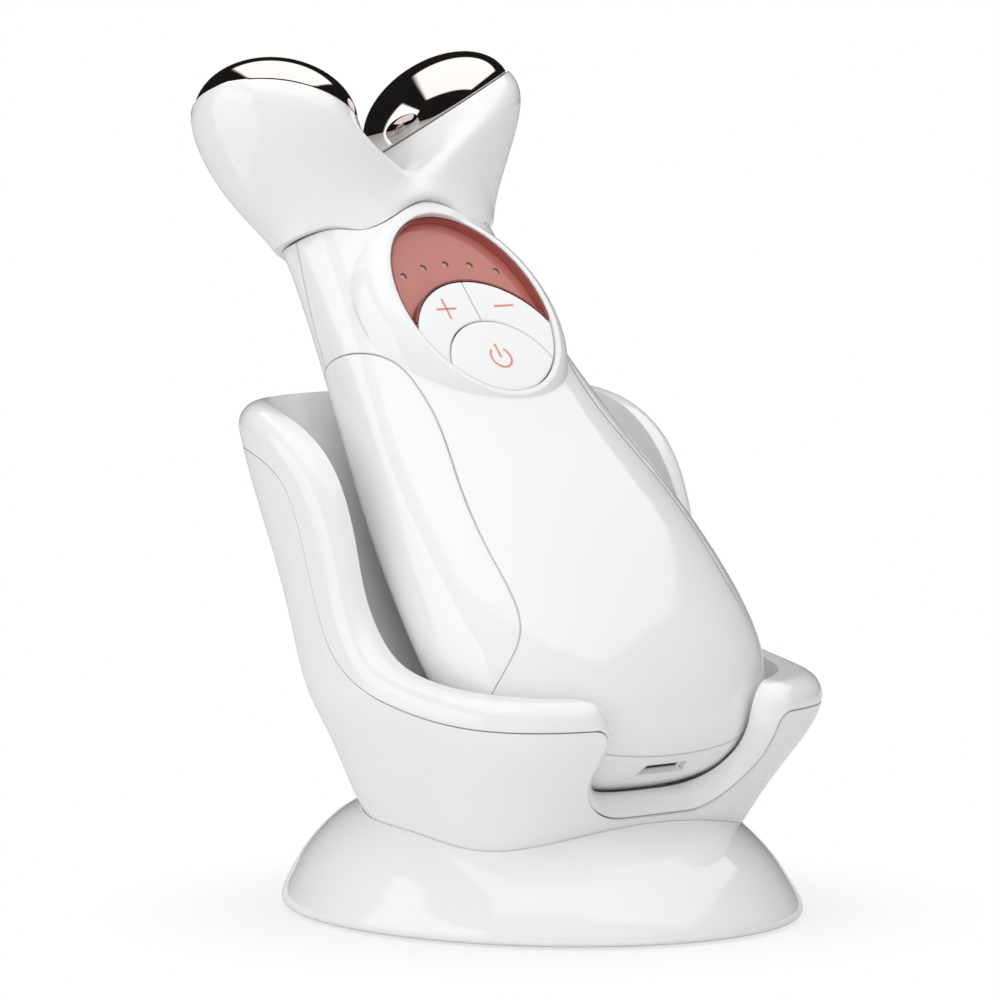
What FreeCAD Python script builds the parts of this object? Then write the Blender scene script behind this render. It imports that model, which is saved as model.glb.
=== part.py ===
import FreeCAD, Part
import math
import os

from FreeCAD import Placement, Rotation, Vector

# Face lifting handset with a forked head, leaning back in its stand.
# Millimetres. World frame: origin on the table under the middle of the base, front towards -Y, up +Z.
# The handset is drawn upright in its own frame, bottom end at z = 0 and controls towards -Y,
# and is then leaned back into the stand.

# Clearances
parting_gap = 0.2        # hairline between two moulded covers
seat_gap = 0.1           # between a fixed piece and the seat that it sits in
rest_gap = 0.5           # between the handset and the floor and back of the seat
overrun = 15.0           # how far cutters pass the faces that they cut

# Place of the handset in the stand
lean_angle = 40.5        # degrees back from upright
rest_y = -34.6           # bottom end of the handset
rest_z = 29.74

# Handset body: superellipse sections up its length
handle_length = 136.0
handle_half_width = 36.4
handle_front = 18.6      # centre to front at the fullest section
handle_back = 20.4       # centre to back at the fullest section
handle_wall = 2.8
handle_power = 2.25      # power of the superellipse
section_points = 36
ellipse_power = 2
# Height, half width, front and back of each section as shares of the four sizes above
handle_shares = [
    (0.003, 0.26, 0.32, 0.12),
    (0.0132, 0.453, 0.527, 0.343),
    (0.0368, 0.66, 0.71, 0.578),
    (0.0772, 0.824, 0.86, 0.784),
    (0.14, 0.95, 0.968, 0.931),
    (0.22, 1.0, 1.0, 1.0),
    (0.316, 0.989, 0.984, 1.0),
    (0.419, 0.945, 0.909, 0.975),
    (0.522, 0.874, 0.806, 0.961),
    (0.625, 0.786, 0.742, 0.931),
    (0.728, 0.709, 0.747, 0.853),
    (0.8235, 0.659, 0.785, 0.725),
    (0.904, 0.629, 0.828, 0.608),
    (1.0, 0.615, 0.849, 0.559),
]
fullest_share = 0.22     # height of the fullest section
# Side view of the line between the front and back covers, as shares of the front depth and the length
parting_shares = [(-0.34, -0.25), (-0.325, 0.0), (-0.22, 0.1), (0.08, 0.28), (0.3, 0.5), (0.34, 0.66),
                  (0.27, 0.76), (0.07, 0.873), (-0.07, 0.935), (-0.25, 1.06), (-0.3, 1.2)]

# Side grips, inlaid over the parting line
grip_depth = 1.4
# Side view of a grip, as shares of the front depth and the handset's length
grip_shares = [(0.3, 0.749), (-0.1, 0.734), (-0.43, 0.697), (-0.56, 0.632), (-0.6, 0.58), (-0.66, 0.46),
               (-0.725, 0.315), (-0.735, 0.235), (-0.64, 0.181), (-0.44, 0.1525), (-0.1, 0.133),
               (0.4, 0.14), (0.72, 0.19), (0.83, 0.29), (0.83, 0.45), (0.8, 0.6), (0.73, 0.68),
               (0.57, 0.73)]

# Control pod: a raised oval on the front cover
control_y = -14.3        # plane of the button tops
pod_centre_z = 101.5
pod_half_width = 17.4
pod_half_height = 21.3
pod_lip = 1.1            # width of the lip round the oval
pod_lip_height = 0.25    # lip above the button tops
pod_flare = 4.4          # how far the pod's foot spreads beyond the lip
pod_depth = 7.0          # height of the pod, most of it inside the cover
# Depth and spread of the pod's side as shares of its height and flare
pod_shares = [(0.0, 0.0), (0.05, 0.14), (0.15, 0.38), (0.33, 0.64), (0.63, 0.87), (1.0, 1.0)]
well_depth = 6.6         # oval well behind the button tops

# Pieces in the oval: window above the large arc, plus and minus between the arcs, power below
window_arc_radius = 18.1
window_arc_z = 88.9
window_tip_z = 96.9
power_arc_radius = 13.1
power_arc_z = 84.1
control_gap = 0.25
button_thickness = 2.6
button_edge = 0.3
window_sink = 1.8        # floor of the window below the button tops
window_floor = 1.2
window_wall = 0.45
press_travel = 0.45
press_slack = 0.1
stem_radius = 1.6
key_x = 7.2              # plus and minus, either side of the middle
key_z = 100.5
power_z = 88.4

# Indicator lights on an arc in the window
light_count = 5
light_radius = 0.75
light_pitch = 5.85
light_arc_radius = 31.0
light_arc_top_z = 112.4
light_fit = 0.05
light_sink = 0.4         # ends of the light pipes below the window's floor
chip_width = 1.6
chip_height = 0.8

# Control board, switches, inner frame, battery
board_y = -6.3           # front face of the board
board_thickness = 1.4
board_half_width = 14.0
board_low_z = 66.0
board_high_z = 112.2
board_corner = 4.0
switch_width = 6.0
switch_height = 2.2
plunger_radius = 1.5
plunger_height = 1.5
frame_thickness = 1.6
frame_low_z = 12.0
frame_high_z = 105.5
frame_margin = 0.5
battery_half_width = 17.0
battery_thickness = 8.6
battery_low_z = 22.0
battery_high_z = 68.0
battery_edge = 1.5

# Case screws, hidden under the grips: half spacing and height of the lower and upper pairs
case_screw_places = [(28.0, 34.0), (23.5, 80.0)]
post_radius = 3.0
post_split_y = 2.5
screw_radius = 1.1
screw_fit = 0.05
screw_head_radius = 2.1
screw_head_height = 1.4
screw_head_y = 6.0
screw_tip_y = -5.0
driver_radius = 2.5

# Charging socket in the bottom end
port_y = -1.6
port_half_width = 5.9
port_top_half_width = 4.9
port_half_height = 1.55
socket_half_width = 4.5
socket_half_height = 1.3
socket_wall = 0.35
tongue_half_width = 3.4
tongue_half_height = 0.35
socket_low_z = 1.4
socket_high_z = 8.4

# Wavy joint between head and handset: highest over the pod, climbing towards the back
wave_low_z = 121.4
wave_height = 4.6
wave_half_length = 16.0
wave_climb = 0.33        # climb towards the back per unit of depth
# Half of the wave as shares of its half length and height
wave_shares = [(0.0, 1.0), (0.35, 0.67), (0.78, 0.05), (1.0, 0.0), (1.22, 0.36), (1.42, 0.44), (2.4, 0.5)]

# Head: two arms from the neck to the electrode rims
rim_x = 20.6
rim_y = -9.7
rim_z = 150.7
rim_radius = 16.6
rim_in_tilt = 25.0       # degrees that each electrode turns towards the other
rim_front_tilt = 16.0    # degrees that each electrode turns to the front
neck_z = 110.0
head_wall = 2.4
arm_power = 2.25
# Turn, place across, back and up between neck and rim, half width and half depth as shares of the rim
arm_shares = [
    (0.0, 0.0, 0.0, 0.0, 1.458, 0.89),
    (0.0, 0.01, 0.1, 0.3, 1.375, 0.83),
    (0.22, 0.44, 0.42, 0.52, 1.13, 0.82),
    (0.56, 0.87, 0.75, 0.725, 0.975, 0.95),
    (0.9, 1.02, 0.93, 0.885, 1.0, 1.02),
    (1.0, 1.0, 1.0, 1.0, 1.0, 1.0),
]
# Web that rounds the fork: place across, back and up between neck and rim, half depth and half height
# as shares of the rim
web_power = 2.5
web_shares = [
    (0.0, 0.515, 0.442, 0.711, 0.518),
    (0.243, 0.577, 0.467, 0.639, 0.59),
    (0.485, 0.67, 0.504, 0.49, 0.663),
]

# Electrodes
dome_radius = 16.1
dome_height = 11.0
dome_spigot = 3.0
spigot_gap = 0.6
stud_radius = 1.5
stud_length = 4.2
nut_sides = 6
nut_radius = 3.0
nut_height = 2.0
lead_radius = 0.6

# Plug of the head and the plate that it meets in the neck
plug_half_width = 12.5
plug_half_depth = 6.0
plug_corner = 3.0
plug_low_z = 112.5
flange_low_z = 126.6
flange_thickness = 2.2
flange_play = 0.8        # between the flange and the inside of the handset's neck
rib_half_width = 3.0
plate_thickness = 2.4
plate_drop = 2.6         # plate's top below the plug
pin_radius = 1.0
pin_half_spacing = 6.0
pin_gap = 0.3

# Bowl of the stand: superellipse sections up its height
bowl_half_width = 46.0
bowl_half_depth = 42.0
bowl_height = 99.0
bowl_power = 2.8
bowl_front_power = 3.3   # the front half is flatter
bowl_front_share = 0.93
# Height, shift back, half width and half depth as shares of the bowl's height, depth, width and depth
bowl_shares = [
    (0.131, -0.114, 0.707, 0.595),
    (0.192, -0.126, 0.783, 0.69),
    (0.273, -0.148, 0.87, 0.798),
    (0.354, -0.19, 0.946, 0.917),
    (0.424, -0.179, 1.0, 1.0),
    (0.606, 0.071, 1.0, 0.905),
    (0.808, 0.31, 1.011, 0.857),
    (1.01, 0.595, 1.0, 0.714),
    (1.131, 0.738, 0.989, 0.667),
]
# Side view of the rim and of the seam under it, as shares of the bowl's half depth and height
rim_shares = [(-1.79, 0.462), (-1.19, 0.464), (-0.714, 0.475), (-0.333, 0.498), (-0.083, 0.54),
              (0.048, 0.611), (0.114, 0.707), (0.19, 0.798), (0.333, 0.889), (0.583, 0.958), (0.905, 0.989),
              (1.143, 0.99), (1.38, 0.982), (2.02, 0.965)]
seam_shares = [(-1.79, 0.414), (-1.19, 0.414), (-0.714, 0.42), (-0.333, 0.442), (-0.048, 0.475),
               (0.167, 0.535), (0.298, 0.626), (0.393, 0.747), (0.488, 0.838), (0.667, 0.886), (0.952, 0.905),
               (1.19, 0.906), (1.38, 0.9), (2.02, 0.885)]
rim_round = 4.4
shell_wall = 2.4
liner_wall = 2.4
seat_side_gap = 4.2      # room beside the handset
seat_front_gap = 1.6
seat_power = 2.6
seat_height = 160.0
seat_steps = 3           # sections of the seat above the fullest one

# Notch in the front of the bowl that leaves the charging socket open
notch_half_width = 18.0
notch_corner = 10.0
notch_floor_z = 24.8
notch_face_y = -36.0     # where the floor height is measured
notch_climb_angle = 15.0
notch_end_y = -18.0      # well inside the seat
notch_mouth_round = 6.5
notch_lip = 3.5          # rim of the notch down to the seam

# Base
base_half_width = 47.0
base_half_depth = 54.5
base_height = 24.0
base_wall = 2.6
# Height, shift back, half width and half depth as shares of the base's height, depth, width and depth
base_shares = [
    (0.02, 0.0, 0.965, 0.968),
    (0.07, 0.0, 1.0, 1.0),
    (0.17, 0.004, 0.988, 0.988),
    (0.27, 0.008, 0.962, 0.962),
    (0.42, 0.014, 0.922, 0.915),
    (0.55, 0.02, 0.88, 0.86),
    (0.7, 0.03, 0.82, 0.775),
    (0.85, 0.04, 0.75, 0.65),
    (0.95, 0.045, 0.67, 0.52),
]
deck_thickness = 2.4     # deck that the bowl stands on
plate_z = 1.2            # underside of the base plate
base_plate_thickness = 1.8
ballast_margin = 15.0
ballast_thickness = 4.8
foot_count = 4
foot_radius = 5.0
foot_height = 2.0
foot_turn_share = 0.125  # first foot, as a share of a full turn
foot_place_share = 0.74  # feet on an oval, as a share of the base
seat_screw_places = [(-16.0, -8.0), (16.0, -8.0), (0.0, 8.0)]
seat_post_radius = 4.0
seat_screw_bite = 5.0    # length of screw in the post
plate_screw_count = 4
plate_screw_place_share = 0.8
plate_screw_bite = 4.0

x_dir = Vector(1, 0, 0)
y_dir = Vector(0, 1, 0)
z_dir = Vector(0, 0, 1)
far = 200.0              # beyond every face of the object


# Curves and forms

def spline_loop(points):
    curve = Part.BSplineCurve()
    curve.interpolate(points, PeriodicFlag=True)
    return Part.Wire(curve.toShape())


def spline_edge(points):
    curve = Part.BSplineCurve()
    curve.interpolate(points)
    return curve.toShape()


def signed_power(value, power):
    return math.copysign(abs(value) ** power, value)


def oval_section(centre, x_axis, y_axis, half_width, front, back, power, front_power=None):
    """Closed superellipse whose front and back halves have their own depth and, where given, power."""
    points = []
    for i in range(section_points):
        angle = 2 * math.pi * i / section_points
        behind = math.sin(angle) > 0
        n = power if behind or front_power is None else front_power
        x = half_width * signed_power(math.cos(angle), 2 / n)
        y = (back if behind else front) * signed_power(math.sin(angle), 2 / n)
        points.append(centre + x_axis * x + y_axis * y)
    return spline_loop(points)


def loft(wires):
    return Part.makeLoft(wires, True, False)


def block(x0, x1, y0, y1, z0, z1):
    return Part.makeBox(x1 - x0, y1 - y0, z1 - z0, Vector(x0, y0, z0))


def slab_z(z0, z1):
    return block(-far, far, -far, far, z0, z1)


def rod_y(radius, x, z, y0, y1):
    return Part.makeCylinder(radius, y1 - y0, Vector(x, y0, z), y_dir)


def rod_z(radius, x, y, z0, z1):
    return Part.makeCylinder(radius, z1 - z0, Vector(x, y, z0), z_dir)


def rod_between(radius, start, end):
    return Part.makeCylinder(radius, (end - start).Length, start, end - start)


def group(shapes):
    return Part.makeCompound(shapes)


def curve_face(points, corners):
    """Face between an open spline and the straight lines through the corners that close it."""
    stops = [points[-1]] + corners + [points[0]]
    lines = [Part.makeLine(a, b) for a, b in zip(stops, stops[1:])]
    return Part.Face(Part.Wire([spline_edge(points)] + lines))


def side_region(points, corners):
    """Side view area between a curve and two far corners, carried across the whole width."""
    region = curve_face(points, corners).extrude(x_dir * (2 * far))
    return region.translated(x_dir * -far)


# Handset forms, in the upright frame

def handle_form(inset):
    wires = []
    for height, width, front, back in handle_shares:
        centre = Vector(0, 0, inset + height * (handle_length - inset))
        wires.append(oval_section(centre, x_dir, y_dir, max(width * handle_half_width - inset, inset),
                                  max(front * handle_front - inset, inset),
                                  max(back * handle_back - inset, inset / 2), handle_power))
    return loft(wires)


def in_front_of_parting(shift):
    points = [Vector(0, y * handle_front + shift, z * handle_length) for y, z in parting_shares]
    return side_region(points, [Vector(0, -far, points[-1].z), Vector(0, -far, points[0].z)])


def above_wave(shift):
    """Everything above the wavy joint, moved up by shift."""
    half = [Vector(x * wave_half_length, 0, wave_low_z + h * wave_height + shift) for x, h in wave_shares]
    points = [Vector(-p.x, p.y, p.z) for p in reversed(half[1:])] + half
    face = curve_face(points, [Vector(points[-1].x, 0, far), Vector(points[0].x, 0, far)])
    run = Vector(0, far, far * wave_climb)
    face.translate(Vector(0, control_y, 0) - run / 2)
    return face.extrude(run)


def pod_form():
    wires = []
    for depth, spread in pod_shares:
        y = control_y - pod_lip_height + depth * pod_depth
        grow = pod_lip + spread * pod_flare
        wires.append(oval_section(Vector(0, y, pod_centre_z), x_dir, z_dir, pod_half_width + grow,
                                  pod_half_height + grow, pod_half_height + grow, ellipse_power))
    return loft(wires)


def oval_prism(shrink, y0, y1):
    wire = oval_section(Vector(0, y0, pod_centre_z), x_dir, z_dir, pod_half_width - shrink,
                        pod_half_height - shrink, pod_half_height - shrink, ellipse_power)
    return Part.Face(wire).extrude(y_dir * (y1 - y0))


def grip_prism(side, shrink):
    """Outline of a grip in side view, carried outwards from the middle."""
    middle_y = sum(y for y, z in grip_shares) / len(grip_shares) * handle_front
    middle_z = sum(z for y, z in grip_shares) / len(grip_shares) * handle_length
    points = []
    for y, z in grip_shares:
        away = Vector(0, y * handle_front - middle_y, z * handle_length - middle_z)
        points.append(Vector(0, middle_y, middle_z) + away * (1 - shrink / away.Length))
    return Part.Face(spline_loop(points)).extrude(x_dir * (side * far))


def arm_turn(side, share):
    inward = Rotation(y_dir, -side * rim_in_tilt * share)
    return inward.multiply(Rotation(x_dir, rim_front_tilt * share))


def arm_form(side, inset):
    wires = []
    for turn, across, back, up, width, depth in arm_shares:
        centre = Vector(side * across * rim_x, back * rim_y, neck_z + up * (rim_z - neck_z))
        r = arm_turn(side, turn)
        half_depth = depth * rim_radius - inset
        power = arm_power + (ellipse_power - arm_power) * turn
        wires.append(oval_section(centre, r.multVec(x_dir), r.multVec(y_dir), width * rim_radius - inset,
                                  half_depth, half_depth, power))
    return loft(wires)


def web_form(inset):
    """Saddle between the arms, lofted from one arm to the other."""
    rows = [(-row[0],) + row[1:] for row in reversed(web_shares[1:])] + web_shares
    wires = []
    for across, back, up, depth, height in rows:
        centre = Vector(across * rim_x, back * rim_y, neck_z + up * (rim_z - neck_z))
        half_height = height * rim_radius - inset
        wires.append(oval_section(centre, y_dir, z_dir, depth * rim_radius - inset, half_height, half_height,
                                  web_power))
    return loft(wires)


def head_form(inset):
    return arm_form(-1, inset).fuse([arm_form(1, inset), web_form(inset)])


def rim_place(side):
    return Placement(Vector(side * rim_x, rim_y, rim_z), arm_turn(side, 1))


# Handset pieces

def case_posts(y0, y1, radius):
    posts = []
    for x, z in case_screw_places:
        for side in (-1, 1):
            posts.append(rod_y(radius, side * x, z, y0, y1))
    return posts


def port_prism():
    """Trapezium mouth at the bottom end, and the pocket behind it that holds the charging socket."""
    corners = [(-port_half_width, port_half_height), (port_half_width, port_half_height),
               (port_top_half_width, -port_half_height), (-port_top_half_width, -port_half_height)]
    points = [Vector(x, port_y + y, -overrun) for x, y in corners]
    mouth = Part.Face(Part.makePolygon(points + points[:1])).extrude(z_dir * (overrun + socket_low_z))
    w = socket_half_width + seat_gap
    h = socket_half_height + seat_gap
    return mouth.fuse(block(-w, w, port_y - h, port_y + h, 0, socket_high_z + seat_gap))


def covers():
    solid = handle_form(0).fuse(pod_form())
    inner = handle_form(handle_wall)
    shell = solid.cut([inner, above_wave(-parting_gap / 2)])
    well = oval_prism(0, control_y - overrun, control_y + well_depth)
    pocket_floor = handle_form(grip_depth)
    pockets = [grip_prism(side, 0).cut(pocket_floor) for side in (-1, 1)]
    post_room = handle_form(grip_depth + seat_gap)
    front_posts = [p.common(post_room) for p in case_posts(-far, post_split_y - seat_gap, post_radius)]
    back_posts = [p.common(post_room) for p in case_posts(post_split_y, far, post_radius)]
    pilots = case_posts(screw_tip_y, far, screw_radius + screw_fit)
    bores = case_posts(screw_head_y, far, driver_radius)
    front = shell.common(in_front_of_parting(-parting_gap / 2)).cut([well] + pockets)
    back = shell.cut(in_front_of_parting(parting_gap / 2)).cut([port_prism()] + pockets)
    front = front.fuse(front_posts).cut(pilots)
    back = back.fuse(back_posts).cut(pilots + bores)
    return front, back


def grip(side):
    body = handle_form(0).common(grip_prism(side, parting_gap))
    return body.cut(handle_form(grip_depth - seat_gap))


def light_places():
    places = []
    for i in range(light_count):
        x = (i - (light_count - 1) / 2) * light_pitch
        drop = light_arc_radius - math.sqrt(light_arc_radius ** 2 - x ** 2)
        places.append((x, light_arc_top_z - drop))
    return places


def light_window():
    back_y = control_y + window_sink + window_floor
    below = block(-far, far, -far, far, -far, window_tip_z)
    plate = oval_prism(seat_gap, control_y, back_y)
    plate = plate.cut([rod_y(window_arc_radius, 0, window_arc_z, -far, far), below])
    tray = oval_prism(seat_gap + window_wall, control_y - overrun, control_y + window_sink)
    tray = tray.cut([rod_y(window_arc_radius, 0, window_arc_z, -far, far),
                     block(-far, far, -far, far, -far, window_tip_z + window_wall)])
    holes = [rod_y(light_radius, x, z, -far, far) for x, z in light_places()]
    return plate.cut([tray] + holes)


def light_pipes():
    y0 = control_y + window_sink + light_sink
    y1 = board_y - chip_height - light_fit
    return group([rod_y(light_radius - light_fit, x, z, y0, y1) for x, z in light_places()])


def light_chips():
    half = chip_width / 2
    return group([block(x - half, x + half, board_y - chip_height, board_y, z - half, z + half)
                  for x, z in light_places()])


def button_blank():
    return oval_prism(control_gap, control_y, control_y + button_thickness)


def stem(x, z):
    end = board_y - switch_height - plunger_height - press_travel - press_slack
    return rod_y(stem_radius, x, z, control_y + button_thickness / 2, end)


def round_top(button):
    edges = [e for e in button.Edges if e.BoundBox.YMax < control_y + button_edge]
    return button.makeFillet(button_edge, edges)


def key_button(side):
    blank = button_blank().common(rod_y(window_arc_radius - control_gap, 0, window_arc_z, -far, far))
    blank = blank.cut(rod_y(power_arc_radius + control_gap / 2, 0, power_arc_z, -far, far))
    half = block(control_gap / 2, far, -far, far, -far, far)
    if side < 0:
        half = half.mirror(Vector(0, 0, 0), x_dir)
    return round_top(blank.common(half)).fuse(stem(side * key_x, key_z))


def power_button():
    blank = button_blank().common(rod_y(power_arc_radius - control_gap / 2, 0, power_arc_z, -far, far))
    return round_top(blank).fuse(stem(0, power_z))


def switch_places():
    return [(-key_x, key_z), (key_x, key_z), (0, power_z)]


def tact_switches():
    half = switch_width / 2
    switches = []
    for x, z in switch_places():
        case = block(x - half, x + half, board_y - switch_height, board_y, z - half, z + half)
        plunger = rod_y(plunger_radius, x, z, board_y - switch_height - plunger_height, board_y)
        switches.append(case.fuse(plunger))
    return group(switches)


def control_board():
    board = block(-board_half_width, board_half_width, board_y, board_y + board_thickness, board_low_z,
                  board_high_z)
    corners = [e for e in board.Edges if e.BoundBox.YLength > board_thickness / 2]
    return board.makeFillet(board_corner, corners)


def frame_y():
    return board_y + board_thickness


def inner_frame():
    room = handle_form(handle_wall + seat_gap)
    plate = block(-far, far, frame_y(), frame_y() + frame_thickness, frame_low_z, frame_high_z)
    return room.common(plate).cut(case_posts(-far, far, post_radius + frame_margin))


def battery():
    y0 = frame_y() + frame_thickness
    cell = block(-battery_half_width, battery_half_width, y0, y0 + battery_thickness, battery_low_z,
                 battery_high_z)
    return cell.makeFillet(battery_edge, cell.Edges)


def case_screws():
    heads = case_posts(screw_head_y, screw_head_y + screw_head_height, screw_head_radius)
    shanks = case_posts(screw_tip_y + seat_gap, screw_head_y, screw_radius)
    return group([head.fuse(shank) for head, shank in zip(heads, shanks)])


def charge_socket():
    w = socket_half_width
    h = socket_half_height
    shell = block(-w, w, port_y - h, port_y + h, socket_low_z, socket_high_z)
    hollow = block(-w + socket_wall, w - socket_wall, port_y - h + socket_wall, port_y + h - socket_wall,
                   socket_low_z - overrun, socket_high_z - socket_wall)
    tongue = block(-tongue_half_width, tongue_half_width, port_y - tongue_half_height,
                   port_y + tongue_half_height, socket_low_z + socket_wall, socket_high_z)
    return shell.cut(hollow).fuse(tongue)


def neck_plate_top():
    return plug_low_z - plate_drop


def neck_plate():
    """Plate across the neck, behind the board and the lights."""
    room = handle_form(handle_wall + seat_gap)
    top = neck_plate_top()
    behind_board = block(-far, far, frame_y() + seat_gap, far, top - plate_thickness, top)
    holes = [rod_z(pin_radius + seat_gap, side * pin_half_spacing, 0, -far, far) for side in (-1, 1)]
    return room.common(behind_board).cut(holes)


def neck_pins():
    top = plug_low_z - pin_gap
    low = neck_plate_top() - plate_thickness
    return group([rod_z(pin_radius, side * pin_half_spacing, 0, low, top) for side in (-1, 1)])


# Head pieces

def head_housing():
    return head_form(0).cut(head_form(head_wall)).common(above_wave(parting_gap / 2))


def electrode(side):
    dome = Part.makeSphere(dome_radius, Vector(0, 0, 0), z_dir, 0, 90, 360)
    squash = FreeCAD.Matrix()
    squash.scale(1, 1, dome_height / dome_radius)
    dome = dome.transformGeometry(squash)
    dome.translate(z_dir * seat_gap)
    spigot = rod_z(rim_radius - head_wall - spigot_gap, 0, 0, -dome_spigot, dome_height / 2)
    stud = rod_z(stud_radius, 0, 0, -dome_spigot - stud_length, 0)
    cap = dome.fuse([spigot, stud])
    cap.Placement = rim_place(side)
    return cap


def electrode_nut(side):
    corners = []
    for i in range(nut_sides + 1):
        angle = 2 * math.pi * i / nut_sides
        corners.append(Vector(nut_radius * math.cos(angle), nut_radius * math.sin(angle), 0))
    nut = Part.Face(Part.makePolygon(corners)).extrude(z_dir * nut_height)
    nut = nut.cut(rod_z(stud_radius + screw_fit, 0, 0, -overrun, overrun))
    nut.translate(z_dir * (-dome_spigot - nut_height - seat_gap))
    nut.Placement = rim_place(side).multiply(nut.Placement)
    return nut


def head_lead(side):
    stud_end = dome_spigot + stud_length
    start = rim_place(side).multVec(Vector(0, 0, -stud_end - lead_radius - seat_gap))
    end = Vector(side * pin_half_spacing, 0, flange_low_z + flange_thickness + seat_gap + lead_radius)
    return rod_between(lead_radius, start, end)


def head_plug():
    """Plug with a flange in the handset's neck and a rib that meets the housing between the arms."""
    top = flange_low_z + flange_thickness
    core = block(-plug_half_width, plug_half_width, -plug_half_depth, plug_half_depth, plug_low_z, top)
    uprights = [e for e in core.Edges if e.BoundBox.ZLength > plug_half_depth]
    core = core.makeFillet(plug_corner, uprights)
    room = head_form(head_wall + seat_gap)
    neck = handle_form(handle_wall + flange_play)
    flange = room.common(neck).common(slab_z(flange_low_z, top))
    rib = room.common(block(-rib_half_width, rib_half_width, -plug_half_depth, plug_half_depth, flange_low_z,
                            rim_z))
    return core.fuse([flange, rib])


def in_cradle(shape):
    placed = shape.copy()
    rest = Placement(Vector(0, rest_y, rest_z), Rotation(x_dir, -lean_angle))
    placed.Placement = rest.multiply(shape.Placement)
    return placed


# Stand forms and pieces, in the world frame

def bowl_form(inset):
    wires = []
    for i, (height, shift, width, depth) in enumerate(bowl_shares):
        z = height * bowl_height + (inset if i == 0 else 0)
        centre = Vector(0, shift * bowl_half_depth, z)
        back = depth * bowl_half_depth - inset
        front = depth * bowl_front_share * bowl_half_depth - inset
        wires.append(oval_section(centre, x_dir, y_dir, width * bowl_half_width - inset, front, back,
                                  bowl_power, bowl_front_power))
    return loft(wires)


def seat_form(grow):
    """Room for the handset: its lower end with clearance, carried on along its axis."""
    wires = []
    rows = [row for row in handle_shares if row[0] <= fullest_share]
    full = rows[-1]
    low = rest_gap + grow
    for height, width, front, back in rows:
        part = height / fullest_share
        wires.append(oval_section(Vector(0, 0, height * handle_length - low), x_dir, y_dir,
                                  width * handle_half_width + seat_side_gap * part + grow,
                                  front * handle_front + seat_front_gap + grow,
                                  back * handle_back + rest_gap + grow,
                                  handle_power + (seat_power - handle_power) * part))
    start_z = full[0] * handle_length
    for step in range(seat_steps):
        z = start_z + (seat_height - start_z) * (step + 1) / seat_steps
        wires.append(oval_section(Vector(0, 0, z), x_dir, y_dir,
                                  full[1] * handle_half_width + seat_side_gap + grow,
                                  full[2] * handle_front + seat_front_gap + grow,
                                  full[3] * handle_back + rest_gap + grow, seat_power))
    return in_cradle(loft(wires))


def above_bowl_curve(shares, drop):
    points = [Vector(0, y * bowl_half_depth, z * bowl_height - drop) for y, z in shares]
    return side_region(points, [Vector(0, points[-1].y, far), Vector(0, points[0].y, far)])


def notch_form(grow):
    """U-shaped cutter from the front, whose floor climbs towards the back."""
    w = notch_half_width + grow
    r = notch_corner + grow
    low = notch_floor_z - grow
    bend = low + r
    diagonal = r * math.sqrt(0.5)
    top = bowl_height
    left = [Vector(-w, 0, bend), Vector(-w + r - diagonal, 0, bend - diagonal), Vector(-w + r, 0, low)]
    right = [Vector(w - r, 0, low), Vector(w - r + diagonal, 0, bend - diagonal), Vector(w, 0, bend)]
    loop = [Part.makeLine(Vector(-w, 0, top), left[0]), Part.Arc(*left).toShape(),
            Part.makeLine(left[2], right[0]), Part.Arc(*right).toShape(),
            Part.makeLine(right[2], Vector(w, 0, top)), Part.makeLine(Vector(w, 0, top), Vector(-w, 0, top))]
    face = Part.Face(Part.Wire(loop))
    climb = math.tan(math.radians(notch_climb_angle))
    start = notch_face_y - bowl_half_depth
    run = notch_end_y - start
    face.translate(Vector(0, start, (start - notch_face_y) * climb))
    return face.extrude(Vector(0, run, run * climb))


def seam_mouth(drop):
    """Opening of the bowl above the seam, moved down by drop."""
    return mouth_form(seam_shares, drop, notch_lip + drop, notch_mouth_round - notch_lip)


def mouth_form(shares, drop, grow, corner_round):
    """Opening of the bowl above a side view curve, joined to the notch with rounded corners."""
    mouth = above_bowl_curve(shares, drop).fuse(notch_form(grow))
    w = notch_half_width + grow
    corners = []
    for edge in mouth.Edges:
        box = edge.BoundBox
        at_side = abs(abs(box.Center.x) - w) < seat_gap and box.XLength < seat_gap
        below_top = notch_floor_z + notch_corner < box.Center.z < bowl_height - overrun
        if at_side and below_top and box.YLength > notch_corner and box.ZLength < box.YLength / 4:
            corners.append(edge)
    return mouth.makeFillet(corner_round, corners)


def lies_on(face, shape):
    u0, u1, v0, v1 = face.ParameterRange
    middle = Part.Vertex(face.valueAt((u0 + u1) / 2, (v0 + v1) / 2))
    return min(f.distToShape(middle)[0] for f in shape.Faces) < seat_gap / 10


def rim_edges(body, mouth, wall):
    """Edges of the body between the faces cut by the mouth and the faces of one wall."""
    cut_edges = []
    wall_edges = []
    for face in body.Faces:
        if lies_on(face, mouth):
            cut_edges.extend(face.Edges)
        elif lies_on(face, wall):
            wall_edges.extend(face.Edges)
    return [e for e in cut_edges if any(e.isSame(other) for other in wall_edges)]


def bowl_body():
    """The bowl with its seat and notch and a rounded rim, before it is split into shell and liner."""
    mouth = mouth_form(rim_shares, 0, 0, notch_mouth_round)
    outer = bowl_form(0)
    body = outer.cut([seat_form(0), mouth])
    body = max(body.Solids, key=lambda solid: solid.Volume)
    return body.makeFillet(rim_round, rim_edges(body, mouth, outer))


def bowl_floor_z():
    return bowl_shares[0][0] * bowl_height


def seat_posts(radius, z0, z1):
    return [rod_z(radius, x, y, z0, z1) for x, y in seat_screw_places]


def outer_shell():
    shell = bowl_form(0).cut(bowl_form(shell_wall))
    holes = seat_posts(screw_radius + screw_fit, -far, far)
    return shell.cut([seam_mouth(parting_gap / 2)] + holes)


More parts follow.
